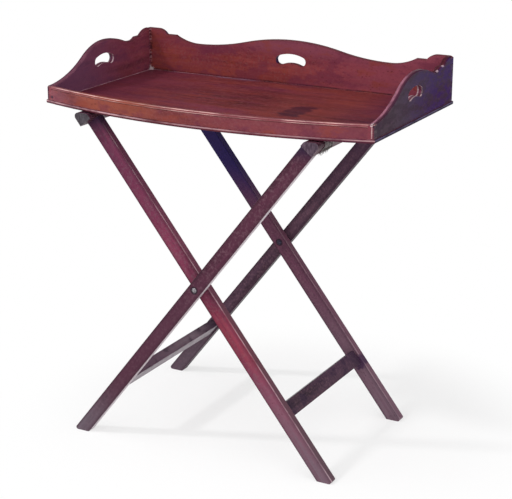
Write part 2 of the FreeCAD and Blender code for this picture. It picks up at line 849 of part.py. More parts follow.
# Webbing near the ends of the rails, with its tacks and their holes
strap_fronts = [
    value(f"{stand_front} - rail_overhang + strap_inset"),
    value(f"{stand_back} + rail_overhang - strap_inset - strap_width"),
]
outer_tacks = make_tacks("outer_rail_tacks", 1, strap_fronts, 0)
inner_tacks = make_tacks("inner_rail_tacks", -1, strap_fronts, 0)
outer_tack_holes = make_tacks("outer_tack_holes", 1, strap_fronts, nail_room)
inner_tack_holes = make_tacks("inner_tack_holes", -1, strap_fronts, nail_room)
outer_rail = make_top_rail("outer_rail_bar", 1, [outer_front_back, stand_back])
inner_rail = make_top_rail("inner_rail_bar", -1, [inner_front_back, inner_back_back])
outer_top_rail = cut_away("outer_top_rail", outer_rail, outer_tack_holes)
inner_top_rail = cut_away("inner_top_rail", inner_rail, inner_tack_holes)
all_tack_holes = shaped("all_tack_holes", [outer_tack_holes.Shape, inner_tack_holes.Shape])
front_strap = make_strap("front_webbing_strap", strap_fronts[0], all_tack_holes)
back_strap = make_strap("back_webbing_strap", strap_fronts[1], all_tack_holes)
doc.recompute()

# Check every object, then write each piece
pieces = [
    tray_floor, front_rail, back_gallery, left_gallery, right_gallery, floor_nails,
    outer_front_leg, outer_back_leg, outer_top_rail, outer_stretcher, outer_tacks,
    inner_front_leg, inner_back_leg, inner_top_rail, inner_stretcher, inner_tacks,
    front_rivet, back_rivet, pivot_washers, front_strap, back_strap,
]
for item in doc.Objects:
    if "Invalid" in item.State or "Error" in item.State:
        raise RuntimeError(item.Label + " failed: " + ", ".join(item.State))
for piece in pieces:
    if piece.Shape.isNull() or not piece.Shape.isValid():
        raise RuntimeError(piece.Label + " has no valid shape")
os.makedirs("parts", exist_ok=True)
for piece in pieces:
    piece.Shape.exportStep(f"parts/{piece.Label}.step")
    print(piece.Label, len(piece.Shape.Solids), round(piece.Shape.Volume))
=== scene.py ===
import bpy
import math
import random
from mathutils import Matrix, Vector


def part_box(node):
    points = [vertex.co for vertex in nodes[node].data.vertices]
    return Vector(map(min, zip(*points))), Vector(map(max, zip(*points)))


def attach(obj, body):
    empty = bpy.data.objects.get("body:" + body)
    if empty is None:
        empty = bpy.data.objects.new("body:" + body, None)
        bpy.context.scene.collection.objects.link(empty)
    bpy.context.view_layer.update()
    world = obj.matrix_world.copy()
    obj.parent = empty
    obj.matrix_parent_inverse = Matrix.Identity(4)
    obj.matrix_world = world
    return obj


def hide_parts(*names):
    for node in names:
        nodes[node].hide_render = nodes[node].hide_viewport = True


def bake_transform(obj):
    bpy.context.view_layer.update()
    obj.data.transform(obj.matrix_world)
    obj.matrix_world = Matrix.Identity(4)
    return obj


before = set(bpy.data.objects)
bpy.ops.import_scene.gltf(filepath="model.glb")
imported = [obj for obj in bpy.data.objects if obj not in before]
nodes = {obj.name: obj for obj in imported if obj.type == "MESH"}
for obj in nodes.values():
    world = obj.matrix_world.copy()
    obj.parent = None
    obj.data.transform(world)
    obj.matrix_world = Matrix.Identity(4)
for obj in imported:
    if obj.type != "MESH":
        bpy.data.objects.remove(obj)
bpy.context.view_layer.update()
scene = bpy.context.scene
scene.view_settings.view_transform = "Standard"
print("frame loaded,", len(nodes), "nodes")


# node bench: small helpers that put one node into a tree and return its output

def addNode(tree, kind, **settings):
    node = tree.nodes.new(kind)
    for name, setting in settings.items():
        setattr(node, name, setting)
    return node


def plug(tree, socket, source):
    if isinstance(source, bpy.types.NodeSocket):
        tree.links.new(source, socket)
    else:
        socket.default_value = source


def sums(tree, operation, first, second=0.0, third=0.0):
    node = addNode(tree, "ShaderNodeMath", operation=operation)
    for socket, source in zip(node.inputs, (first, second, third)):
        plug(tree, socket, source)
    return node.outputs[0]


def slope(tree, source, start, end, low=0.0, high=1.0):  # smooth step from start to end
    node = addNode(tree, "ShaderNodeMapRange", interpolation_type="SMOOTHSTEP")
    limits = {"Value": source, "From Min": start, "From Max": end, "To Min": low, "To Max": high}
    for name, limit in limits.items():
        plug(tree, node.inputs[name], limit)
    return node.outputs["Result"]


def noise(tree, place, scale, detail=2.0, roughness=0.5, twist=0.0):
    node = addNode(tree, "ShaderNodeTexNoise")
    plug(tree, node.inputs["Vector"], place)
    node.inputs["Scale"].default_value = scale
    node.inputs["Detail"].default_value = detail
    node.inputs["Roughness"].default_value = roughness
    node.inputs["Distortion"].default_value = twist
    return node.outputs["Fac"]


def stretched(tree, place, scale):
    node = addNode(tree, "ShaderNodeMapping")
    plug(tree, node.inputs["Vector"], place)
    node.inputs["Scale"].default_value = scale
    return node.outputs["Vector"]


def streaky(tree, place, stretch, *settings):  # noise with its own scale along each axis
    return noise(tree, stretched(tree, place, stretch), 1.0, *settings)


def turned(tree, place, angles):
    node = addNode(tree, "ShaderNodeMapping")
    plug(tree, node.inputs["Vector"], place)
    node.inputs["Rotation"].default_value = [math.radians(angle) for angle in angles]
    return node.outputs["Vector"]


def paint(tree, share, under, over):
    node = addNode(tree, "ShaderNodeMix", data_type="RGBA")
    plug(tree, node.inputs["Factor"], share)
    plug(tree, node.inputs[6], under)
    plug(tree, node.inputs[7], over)
    return node.outputs[2]


def tones(tree, share, stops):
    node = addNode(tree, "ShaderNodeValToRGB")
    plug(tree, node.inputs["Fac"], share)
    ramp = node.color_ramp
    while len(ramp.elements) < len(stops):
        ramp.elements.new(0.5)
    for element, (place, colour) in zip(ramp.elements, stops):
        element.position = place
        element.color = colour
    return node.outputs["Color"]


def split(tree, vector):
    node = addNode(tree, "ShaderNodeSeparateXYZ")
    plug(tree, node.inputs[0], vector)
    return node.outputs


def dotted(tree, vector, way):
    node = addNode(tree, "ShaderNodeVectorMath", operation="DOT_PRODUCT")
    plug(tree, node.inputs[0], vector)
    plug(tree, node.inputs[1], way)
    return node.outputs["Value"]


def away(tree, place, spot):  # distance from a spot
    node = addNode(tree, "ShaderNodeVectorMath", operation="DISTANCE")
    plug(tree, node.inputs[0], place)
    plug(tree, node.inputs[1], spot)
    return node.outputs["Value"]


def size(tree, source):  # without its sign
    return sums(tree, "ABSOLUTE", source)


def both(tree, *shares):
    result = shares[0]
    for share in shares[1:]:
        result = sums(tree, "MULTIPLY", result, share)
    return result


def anyOf(tree, *shares):
    result = shares[0]
    for share in shares[1:]:
        result = sums(tree, "MAXIMUM", result, share)
    return result


def window(tree, source, start, full, wane, end):  # 1 between full and wane, 0 outside start and end
    return both(tree, slope(tree, source, start, full), slope(tree, source, end, wane))


def rgb(red, green, blue):  # screen colour, 0 to 255, as a shader colour
    shares = [part / 255 for part in (red, green, blue)]
    linear = [s / 12.92 if s <= 0.04045 else ((s + 0.055) / 1.055) ** 2.4 for s in shares]
    return (*linear, 1.0)


def newMaterial(name):
    material = bpy.data.materials.new(name)
    material.use_nodes = True
    tree = material.node_tree
    return material, tree, tree.nodes["Principled BSDF"]


def relief(tree, shader, height, strength, depth):
    bump = addNode(tree, "ShaderNodeBump")
    bump.inputs["Strength"].default_value = strength
    bump.inputs["Distance"].default_value = depth
    tree.links.new(height, bump.inputs["Height"])
    tree.links.new(bump.outputs["Normal"], shader.inputs["Normal"])


def newObject(name, points, faces):
    mesh = bpy.data.meshes.new(name)
    mesh.from_pydata(points, [], faces)
    made = bpy.data.objects.new(name, mesh)
    scene.collection.objects.link(made)
    return made


def settle(item):  # what the modifiers made becomes the item's own plain mesh
    bpy.context.view_layer.update()
    drawn = item.data
    made = bpy.data.meshes.new_from_object(item.evaluated_get(bpy.context.evaluated_depsgraph_get()))
    item.modifiers.clear()
    item.data = made
    made.name = item.name
    bpy.data.meshes.remove(drawn)


# studio: white sweep, window light from the front left, two soft boxes under a dim ceiling
studio = {
    "sunFrom": (-0.78, -0.65, 1.0),
    "sunLevel": 1.0,
    "sunSoftness": 5,  # degrees
    "ceiling": 0.25,
    "softBoxes": [((-0.3, -0.7, 0.65), 1.15), ((0.92, -0.3, 0.25), 1.2)],  # way to it, level
    "boxFade": (0.35, 0.95),  # cosines where a soft box starts and is full
    "sweepTop": (0.25, 0.08),  # the white sweep ends between these slopes
    "floorSize": 30.0,
    "floorWhite": 0.9,
    "floorGlow": 0.6,  # how much of the seen floor is plain white near the feet
    "shadowMiddle": (0.1, 0.02, 0.0),
    "shadowReach": (0.38, 0.68),  # shadows fade to white between these distances
}
cameraView = {
    "azimuth": 28.359,  # degrees, as are elevation and roll
    "elevation": 17.771,
    "roll": 0.154,
    "distance": 3.2643,
    "aimHeight": 0.4,
    "aimAside": 0.0285,
    "aimAbove": 0.00738,
    "lens": 105.876,  # millimetres, as is the sensor
    "sensor": 36.0,
}


def makeSky(look):
    world = bpy.data.worlds.new("studioSky")
    scene.world = world
    world.use_nodes = True
    tree = world.node_tree
    sky = tree.nodes["Background"]
    sky.inputs["Color"].default_value = (1.0, 1.0, 1.0, 1.0)
    way = addNode(tree, "ShaderNodeTexCoord").outputs["Generated"]
    level = look["ceiling"]
    for direction, strength in look["softBoxes"]:
        near = dotted(tree, way, Vector(direction).normalized())
        level = sums(tree, "ADD", slope(tree, near, *look["boxFade"], 0.0, strength), level)
    rays = addNode(tree, "ShaderNodeLightPath").outputs
    sweep = slope(tree, split(tree, way)[2], *look["sweepTop"])
    mirrored = both(tree, rays["Is Glossy Ray"], sweep)
    white = anyOf(tree, mirrored, rays["Is Camera Ray"], rays["Is Transmission Ray"])
    tree.links.new(slope(tree, white, 0.0, 1.0, level, 1.0), sky.inputs["Strength"])


def makeFloor(look):
    half = look["floorSize"] / 2
    corners = [(-half, -half, 0), (half, -half, 0), (half, half, 0), (-half, half, 0)]
    floor = newObject("studioFloor", corners, [(0, 1, 2, 3)])
    material, tree, shader = newMaterial("whiteSweep")
    tree.nodes.remove(shader)
    matt = addNode(tree, "ShaderNodeBsdfDiffuse")
    matt.inputs["Color"].default_value = (*[look["floorWhite"]] * 3, 1.0)
    glow = addNode(tree, "ShaderNodeEmission")
    mixed = addNode(tree, "ShaderNodeMixShader")
    place = addNode(tree, "ShaderNodeTexCoord").outputs["Object"]
    gap = away(tree, place, look["shadowMiddle"])
    white = slope(tree, gap, *look["shadowReach"], look["floorGlow"], 1.0)
    rays = addNode(tree, "ShaderNodeLightPath").outputs
    seen = anyOf(tree, rays["Is Camera Ray"], rays["Is Glossy Ray"], rays["Is Transmission Ray"])
    tree.links.new(both(tree, seen, white), mixed.inputs["Fac"])
    tree.links.new(matt.outputs[0], mixed.inputs[1])
    tree.links.new(glow.outputs[0], mixed.inputs[2])
    tree.links.new(mixed.outputs[0], tree.nodes["Material Output"].inputs["Surface"])
    floor.data.materials.append(material)


def makeWindowLight(look):
    lamp = bpy.data.lights.new("windowLight", "SUN")
    lamp.energy = look["sunLevel"]
    lamp.angle = math.radians(look["sunSoftness"])
    sun = bpy.data.objects.new("windowLight", lamp)
    sun.rotation_euler = Vector(look["sunFrom"]).to_track_quat("Z", "Y").to_euler()
    scene.collection.objects.link(sun)


def makeCamera(look):
    azimuth = math.radians(look["azimuth"])
    elevation = math.radians(look["elevation"])
    level = math.cos(elevation)
    back = Vector((math.sin(azimuth) * level, -math.cos(azimuth) * level, math.sin(elevation)))
    right = Vector((math.cos(azimuth), math.sin(azimuth), 0.0))
    up = back.cross(right)
    lens = bpy.data.cameras.new("photoCamera")
    lens.sensor_width = look["sensor"]
    lens.lens = look["lens"]
    camera = bpy.data.objects.new("photoCamera", lens)
    aim = Vector((0.0, 0.0, look["aimHeight"])) + right * look["aimAside"] + up * look["aimAbove"]
    upright = Matrix((right, up, back)).transposed().to_4x4()
    roll = Matrix.Rotation(math.radians(look["roll"]), 4, "Z")
    camera.matrix_world = Matrix.Translation(aim + back * look["distance"]) @ upright @ roll
    scene.collection.objects.link(camera)
    scene.camera = camera


makeSky(studio)
makeFloor(studio)
makeWindowLight(studio)
makeCamera(cameraView)
print("studio and camera set")


# mahogany: slow colour drift, streaks and fine pores along the grain, wear and painted highlights on the
# arrises
stand = {
    "lean": 38,  # degrees, legs off upright
    "pivotHeight": 0.377,
}
grainTurns = {
    "alongX": (0, 0, 0),
    "alongY": (0, 0, -90),
    "outerLeg": (0, 90 - stand["lean"], 0),
    "innerLeg": (0, 90 + stand["lean"], 0),
}
grainNoise = {  # scale along and across the grain, detail, roughness, twist
    "drift": ((3.0, 14, 14), 2.0, 0.5, 0.6),
    "streak": ((2.4, 95, 95), 4.0, 0.6, 0.3),
    "mottle": ((30, 75, 75), 3.0, 0.6),
    "pore": ((60, 1500, 1500), 1.0),
    "fleck": ((170, 260, 260), 2.0, 0.6),
    "flush": ((3.5, 9, 9), 1.0, 0.5, 0.3),
}
grain = {
    "driftShare": 0.45,
    "streakShare": 0.33,
    "mottleShare": 0.22,
    "stops": (0.37, 0.5, 0.64),  # of the dark, middle and light tones
    "flush": (0.45, 0.72, 0.0, 0.7),
    "pores": (0.58, 0.72),
    "bloomNoise": (170.0, 4.0, 0.75),
    "bloom": (0.46, 0.68, 0.0, 0.5),
    "crowdNoise": (16.0, 2.0, 0.6),
    "crowd": (0.42, 0.64, 0.1),
    "flecks": (0.58, 0.72),
    "polish": (0.3, 0.7),
    "polishSpread": (-0.07, 0.09),
    "wornRough": 0.2,
    "dentNoise": (60.0, 1.0),
    "dents": (0.66, 0.8, 0.0, -1.2),
    "streakRise": 0.5,
    "poreRise": -0.4,
    "relief": (0.35, 0.0004),  # strength, depth
    "wearAndHighlightAngle": (0.985, 0.86),  # cosines between the softened normal and the true one
    "wearAndHighlightNoise": (38.0, 3.0, 0.65),
    "wearAndHighlightPatches": (0.40, 0.64),
}


def mahogany(name, look, marks):
    material, tree, shader = newMaterial(name)
    place = addNode(tree, "ShaderNodeTexCoord").outputs["Object"]
    normal = addNode(tree, "ShaderNodeNewGeometry").outputs["Normal"]
    along = turned(tree, place, grainTurns[look["grain"]])
    wood = {kind: streaky(tree, along, *settings) for kind, settings in grainNoise.items()}
    figure = sums(tree, "MULTIPLY", wood["drift"], grain["driftShare"])
    figure = sums(tree, "MULTIPLY_ADD", wood["streak"], grain["streakShare"], figure)
    figure = sums(tree, "MULTIPLY_ADD", wood["mottle"], grain["mottleShare"], figure)
    stops = list(zip(grain["stops"], (look["dark"], look["mid"], look["light"])))
    colour = tones(tree, figure, stops)
    colour = paint(tree, slope(tree, wood["flush"], *grain["flush"]), colour, look["plum"])
    pores = slope(tree, wood["pore"], *grain["pores"], 0.0, look["pores"])
    colour = paint(tree, pores, colour, look["dark"])
    bloom = noise(tree, place, *grain["bloomNoise"])
    colour = paint(tree, slope(tree, bloom, *grain["bloom"]), colour, look["bloom"])
    x, y, z = split(tree, place)
    nx, ny, nz = split(tree, normal)
    kit = {"tree": tree, "look": look, "place": place, "normal": normal, "along": along,
           "x": x, "y": y, "z": z, "nx": nx, "ny": ny, "nz": nz,
           "streak": wood["streak"], "mottle": wood["mottle"]}
    for mark in marks:
        colour = mark(kit, colour)
    crowd = slope(tree, noise(tree, place, *grain["crowdNoise"]), *grain["crowd"], look["flecks"])
    flecks = both(tree, slope(tree, wood["fleck"], *grain["flecks"]), crowd)
    colour = paint(tree, flecks, colour, look["dark"])
    # pale arrises: wear together with a painted highlight
    worn = edgeWearAndHighlight(kit)
    colour = paint(tree, worn, colour, look["worn"])
    tree.links.new(colour, shader.inputs["Base Color"])
    smooth, dull = [look["rough"] + change for change in grain["polishSpread"]]
    rough = slope(tree, wood["drift"], *grain["polish"], smooth, dull)
    rough = sums(tree, "MULTIPLY_ADD", worn, grain["wornRough"], rough)
    tree.links.new(rough, shader.inputs["Roughness"])
    dents = slope(tree, noise(tree, place, *grain["dentNoise"]), *grain["dents"])
    height = sums(tree, "MULTIPLY_ADD", wood["streak"], grain["streakRise"], dents)
    height = sums(tree, "MULTIPLY_ADD", wood["pore"], grain["poreRise"], height)
    relief(tree, shader, height, *grain["relief"])
    shader.inputs["Specular IOR Level"].default_value = look["gloss"]
    return material


def edgeWearAndHighlight(kit):  # pale arrises, part wear and part painted highlight: where a softened normal leaves the true one, broken up by noise
    tree = kit["tree"]
    look = kit["look"]
    soft = addNode(tree, "ShaderNodeBevel", samples=6)
    soft.inputs["Radius"].default_value = look["wearAndHighlightWidth"]
    edge = slope(tree, dotted(tree, soft.outputs["Normal"], kit["normal"]), *grain["wearAndHighlightAngle"])
    patch = slope(tree, noise(tree, kit["place"], *grain["wearAndHighlightNoise"]), *grain["wearAndHighlightPatches"])
    return both(tree, edge, patch, look["wearAndHighlightShare"])


# marks: each lays a trace of use, a painted shade or a painted highlight over a wood's colour and returns
# the colour it leaves.
# Places are in metres. A fade says along which value it runs, where it starts and ends, and its
# lowest and highest share. A band says where it starts, is full, starts to wane and ends.
sideOn = (1, 0, 1)  # a place without its depth
fromAbove = (1, 1, 0)  # a place without its height
backLeftCorner = (-0.3655, 0.2185, 0.732)  # where the floor meets the back and the left board


def fade(kit, along, start, end, low=0.0, high=1.0):
    return slope(kit["tree"], kit[along], start, end, low, high)


def band(kit, along, start, full, wane, end):
    return window(kit["tree"], kit[along], start, full, wane, end)


def lay(kit, colour, over, *shares):
    return paint(kit["tree"], both(kit["tree"], *shares), colour, over)


def ragged(tree, measure, rough, reach):  # a measure shifted by noise, for torn edges
    return sums(tree, "MULTIPLY_ADD", rough, reach, measure)


def greyFeet(kit, colour):  # bleached and scuffed towards the floor
    look = kit["look"]
    return lay(kit, colour, look["foot"], fade(kit, "z", look["footFrom"], 0.0),
               fade(kit, "streak", 0.3, 0.62, low=0.55, high=0.95))


def trayShadowTops(kit, colour):  # painted shadow of the tray on the leg tops: almost black just under it, less so on back faces
    look = kit["look"]
    colour = lay(kit, colour, look["top"], fade(kit, "z", *look["topFrom"], high=look["topShade"]),
                 fade(kit, "ny", 0.5, 0.1, low=0.5))
    return lay(kit, colour, rgb(34, 26, 52), fade(kit, "z", 0.672, 0.712, high=0.8))


def legEdges(kit, colour):  # painted light and shade on the right flank, dark edges in front with a painted shadow down the left one, pale line on the right arris that is wear and painted highlight
    tree = kit["tree"]
    look = kit["look"]
    lean = math.radians(stand["lean"])
    tilt = -1 if look["grain"] == "outerLeg" else 1
    right = Vector((math.cos(lean), 0, tilt * math.sin(lean)))
    across = sums(tree, "SUBTRACT", dotted(tree, kit["place"], right), right.z * stand["pivotHeight"])
    depth = sums(tree, "SUBTRACT", kit["y"], look["frontFace"])
    front = fade(kit, "ny", -0.45, -0.75)
    flank = slope(tree, dotted(tree, kit["normal"], right), 0.45, 0.85)
    # the flank's tone is painted light and shade, chosen for each leg
    tone = lay(kit, look.get("flankLow", look["flank"]), look["flank"], fade(kit, "z", 0.28, 0.42))
    colour = lay(kit, colour, tone, flank, slope(tree, depth, 0.0035, 0.0055), look["flankShade"])
    sides = slope(tree, size(tree, across), 0.006, 0.0145, high=0.42)
    colour = lay(kit, colour, look["dark"], front, sides)
    # a painted shadow of the rail down the left edge
    shadowLine = slope(tree, across, -0.0122, -0.0141, high=0.75)
    colour = lay(kit, colour, look["dark"], front, shadowLine)
    # the pale line on the right arris: wear with a painted highlight
    line = window(tree, depth, 0.0014, 0.0022, 0.0044, 0.0056)
    rubbedHighlight = slope(tree, streaky(tree, kit["along"], (22, 60, 60), 3.0, 0.6), 0.36, 0.6, low=0.2)
    return lay(kit, colour, look["worn"], flank, line, rubbedHighlight, look["arris"])


def duskyShin(kit, colour):  # darker between the rivet and the foot
    return lay(kit, colour, rgb(66, 38, 52), band(kit, "z", 0.05, 0.13, 0.32, 0.44), 0.5)


def rivetGrime(kit, colour):  # dark ring of old oil round the rivet
    tree = kit["tree"]
    gap = away(tree, stretched(tree, kit["place"], sideOn), (0.0, 0.0, stand["pivotHeight"]))
    return lay(kit, colour, rgb(30, 20, 32), slope(tree, gap, 0.0105, 0.0066, high=0.85))


def jointShadow(kit, colour):  # painted purple contact shadow run out from the stretcher's joint
    tree = kit["tree"]
    gap = away(tree, stretched(tree, kit["place"], sideOn), (0.2035, 0.0, 0.1235))
    edge = ragged(tree, gap, noise(tree, kit["place"], 130.0, 2.0, 0.6), -0.02)
    return lay(kit, colour, rgb(54, 30, 62), slope(tree, edge, 0.010, 0.003, high=0.8))


def redPatch(kit, colour):  # where the stain has worn to the red wood
    return lay(kit, colour, rgb(138, 47, 46), band(kit, "z", 0.17, 0.25, 0.3, 0.37),
               fade(kit, "streak", 0.35, 0.6, low=0.1, high=0.35))


def darkJointEnds(kit, colour):  # darker where a stretcher meets its legs, and in blotches
    tree = kit["tree"]
    ends = slope(tree, size(tree, kit["y"]), 0.115, 0.185)
    ends = both(tree, ends, fade(kit, "mottle", 0.3, 0.6, low=0.5, high=0.9))
    blotch = slope(tree, noise(tree, kit["place"], 34.0, 2.0), 0.52, 0.66, high=0.6)
    return lay(kit, colour, kit["look"]["jointTone"], anyOf(tree, ends, blotch))


def floorReflection(kit, colour):  # painted reflection of the white floor on faces turned down to it
    return lay(kit, colour, rgb(161, 153, 159), fade(kit, "nz", -0.3, -0.55),
               fade(kit, "mottle", 0.3, 0.6, low=0.45, high=0.85))


def dryEnds(kit, colour):  # end grain, dry and dull
    tree = kit["tree"]
    look = kit["look"]
    rings = streaky(tree, kit["place"], (260, 1, 90), 3.0, 0.6)
    wood = tones(tree, rings, [(0.35, look["endDark"]), (0.65, look["endLight"])])
    return lay(kit, colour, wood, slope(tree, size(tree, kit["ny"]), 0.8, 0.95))


def patchyStain(kit, colour):  # old stain, browner and more purple in places
    tree = kit["tree"]
    look = kit["look"]
    cloud = streaky(tree, kit["along"], (13, 30, 30), 4.0, 0.65)
    colour = lay(kit, colour, look["brown"], slope(tree, cloud, 0.52, 0.64, high=0.5))
    return lay(kit, colour, look["purple"], slope(tree, cloud, 0.47, 0.36, high=0.45))


def shadedTops(kit, colour):  # darker on the boards' upward top faces
    return lay(kit, colour, kit["look"]["dark"], fade(kit, "nz", 0.3, 0.75, high=0.7))


def floorTints(kit, colour):  # plum towards both ends, lighter right of the middle
    colour = lay(kit, colour, rgb(86, 34, 54), fade(kit, "x", -0.12, -0.34, high=0.55))
    colour = lay(kit, colour, rgb(122, 56, 50), band(kit, "x", 0.0, 0.12, 0.2, 0.3), 0.35)
    return lay(kit, colour, rgb(84, 36, 60), fade(kit, "x", 0.18, 0.35, high=0.8),
               fade(kit, "y", 0.0, 0.16, low=0.6))


def floorStainAndSheen(kit, colour):  # one dark spill with torn edges, a painted bluish sheen by the back board
    tree = kit["tree"]
    upper = fade(kit, "nz", 0.4, 0.8)
    rough = streaky(tree, kit["place"], (24, 60, 1), 3.0, 0.6)
    across = window(tree, ragged(tree, kit["x"], rough, 0.05), 0.134, 0.146, 0.180, 0.192)
    deep = window(tree, ragged(tree, kit["y"], rough, -0.03), -0.098, -0.076, 0.004, 0.024)
    soaked = fade(kit, "streak", 0.3, 0.6, low=0.5, high=0.9)
    colour = lay(kit, colour, rgb(62, 26, 40), across, deep, soaked, upper)
    # painted sheen along the back board
    return lay(kit, colour, rgb(134, 112, 138), band(kit, "x", -0.21, -0.17, -0.12, -0.06),
               fade(kit, "y", 0.203, 0.214), fade(kit, "mottle", 0.35, 0.6, low=0.1, high=0.4), upper)


def dustyCorners(kit, colour):  # pale line of old wax where the boards meet the floor
    tree = kit["tree"]
    left = fade(kit, "x", -0.3615, -0.3635)
    right = fade(kit, "x", 0.3630, 0.3650, high=0.4)
    back = both(tree, fade(kit, "y", 0.2150, 0.2178), fade(kit, "x", -0.05, -0.3, low=0.15, high=0.9))
    patch = slope(tree, noise(tree, kit["place"], 22.0, 3.0, 0.6), 0.36, 0.6, low=0.3, high=0.85)
    return lay(kit, colour, rgb(172, 140, 150), anyOf(tree, left, right, back),
               fade(kit, "z", 0.7315, 0.7319), patch)


def cornerStar(kit, colour):  # wax and dust packed into the back left corner, specks up its joint
    tree = kit["tree"]
    rough = noise(tree, kit["place"], 240.0, 2.0, 0.6)
    edge = ragged(tree, away(tree, kit["place"], backLeftCorner), rough, -0.016)
    colour = lay(kit, colour, rgb(190, 178, 180), slope(tree, edge, 0.003, -0.004, high=0.8))
    upright = away(tree, stretched(tree, kit["place"], fromAbove), (*backLeftCorner[:2], 0.0))
    speck = streaky(tree, kit["place"], (120, 120, 190), 1.0)
    colour = lay(kit, colour, rgb(160, 128, 134), slope(tree, upright, 0.0050, 0.0025),
                 slope(tree, speck, 0.5, 0.64, high=0.5))
    return lay(kit, colour, rgb(44, 22, 34), slope(tree, upright, 0.0090, 0.0030),
               slope(tree, speck, 0.5, 0.4, high=0.7))


def nosingShadeAndHighlight(kit, colour):  # the floor board's edge: painted shade on its faces, darkest at the ends, under a pale painted highlight along the top, broken up like wear
    tree = kit["tree"]
    rim = slope(tree, size(tree, kit["nz"]), 0.9, 0.6)
    ends = slope(tree, size(tree, kit["nx"]), 0.45, 0.75)
    # painted shade on the nosing's edge faces, deepest at the ends
    edge = lay(kit, rgb(66, 28, 44), rgb(30, 22, 46), ends)
    colour = lay(kit, colour, edge, rim, slope(tree, ends, 0.0, 1.0, low=0.65, high=0.9))
    colour = lay(kit, colour, edge, slope(tree, size(tree, kit["x"]), 0.3770, 0.3776, high=0.8))
    line = both(tree, rim, band(kit, "z", 0.7274, 0.7287, 0.7301, 0.7312))
    patch = slope(tree, streaky(tree, kit["place"], (16, 16, 1), 3.0, 0.6), 0.35, 0.62, low=0.15, high=0.9)
    patch = both(tree, patch, slope(tree, ends, 0.0, 1.0, low=1.0, high=0.8))
    patch = both(tree, patch, fade(kit, "x", -0.3, 0.0, low=1.0, high=0.55))
    # the pale line along the top: painted highlight broken up like wear
    pale = lay(kit, rgb(200, 160, 164), rgb(118, 104, 140), ends)
    return lay(kit, colour, pale, line, patch)


def frontTints(kit, colour):  # rose at the left end, tan beside it, plum to the right
    colour = lay(kit, colour, rgb(136, 70, 52), band(kit, "x", -0.31, -0.23, -0.13, -0.05), 0.6)
    colour = lay(kit, colour, rgb(132, 76, 88), fade(kit, "x", -0.27, -0.36, high=0.6))
    return lay(kit, colour, rgb(116, 56, 70), fade(kit, "x", 0.1, 0.32, high=0.5))


def beadWearAndHighlight(kit, colour):  # pale lines on the rail's rounded top and its bead, wear and painted highlights, a dark one under it
    tree = kit["tree"]
    groove = band(kit, "z", 0.7530, 0.7540, 0.7546, 0.7552)
    colour = lay(kit, colour, kit["look"]["dark"], groove, 0.5)
    top = both(tree, band(kit, "z", 0.7586, 0.7594, 0.7600, 0.7604), fade(kit, "ny", 0.2, -0.2))
    bead = both(tree, band(kit, "z", 0.7550, 0.7556, 0.7562, 0.7568), fade(kit, "ny", -0.4, -0.7),
                fade(kit, "x", -0.3, -0.2, low=0.2, high=0.9))
    patch = slope(tree, streaky(tree, kit["place"], (12, 40, 40), 3.0, 0.6), 0.38, 0.64, low=0.08, high=0.9)
    return lay(kit, colour, rgb(216, 172, 168), anyOf(tree, top, bead), patch)


def frontCorners(kit, colour):  # rubbed joint line and tip at the right end, with a painted highlight on them, a knot at the left
    tree = kit["tree"]
    front = fade(kit, "ny", -0.6, -0.85)
    tall = band(kit, "z", 0.7330, 0.7345, 0.7560, 0.7590)
    speck = slope(tree, streaky(tree, kit["place"], (60, 60, 160), 2.0), 0.35, 0.6, low=0.2)
    # pale line and tip: wear with a painted highlight
    line = band(kit, "x", 0.3716, 0.3724, 0.3736, 0.3744)
    colour = lay(kit, colour, rgb(196, 162, 164), front, tall, line, speck, 0.7)
    strip = fade(kit, "x", 0.3740, 0.3752)
    dull = slope(tree, speck, 0.9, 0.3, low=0.5, high=0.95)
    colour = lay(kit, colour, rgb(48, 36, 50), front, strip, dull)
    tip = away(tree, stretched(tree, kit["place"], sideOn), (0.3722, 0.0, 0.7588))
    colour = lay(kit, colour, rgb(226, 208, 210), slope(tree, tip, 0.0034, 0.0016), speck)
    squash = 1.5  # the knot is this much wider than high
    gap = away(tree, stretched(tree, kit["place"], (1, 0, squash)), (-0.3640, 0.0, 0.7385 * squash))
    colour = lay(kit, colour, rgb(44, 26, 46), front, slope(tree, gap, 0.0062, 0.0030, high=0.85))
    return lay(kit, colour, rgb(50, 34, 52), front, fade(kit, "x", -0.3705, -0.3745, high=0.75))


def backTints(kit, colour):  # warm near the floor, plum near the top, a paler painted sheen over the crest, dark along the base
    warm = fade(kit, "z", 0.768, 0.742, high=0.5)
    colour = lay(kit, colour, rgb(126, 54, 42), warm, fade(kit, "x", 0.12, -0.2))
    colour = lay(kit, colour, rgb(108, 46, 66), fade(kit, "z", 0.778, 0.812, high=0.45))
    # painted sheen over the crest
    crestSheen = fade(kit, "z", 0.785, 0.815)
    colour = lay(kit, colour, rgb(130, 72, 88), crestSheen, band(kit, "x", -0.15, -0.05, 0.25, 0.36), 0.5)
    colour = lay(kit, colour, rgb(140, 68, 84), fade(kit, "x", -0.05, 0.25, high=0.65))
    base = fade(kit, "z", 0.7368, 0.7335, high=0.8)
    return lay(kit, colour, rgb(44, 20, 28), base, fade(kit, "mottle", 0.35, 0.55, low=0.3))


def bowEnds(kit, colour):  # the end grain of the side boards' tails, stained like the front
    tails = lay(kit, rgb(126, 66, 74), rgb(116, 56, 66), fade(kit, "x", -0.1, 0.1))
    return lay(kit, colour, tails, fade(kit, "ny", -0.6, -0.9), fade(kit, "y", -0.14, -0.16))


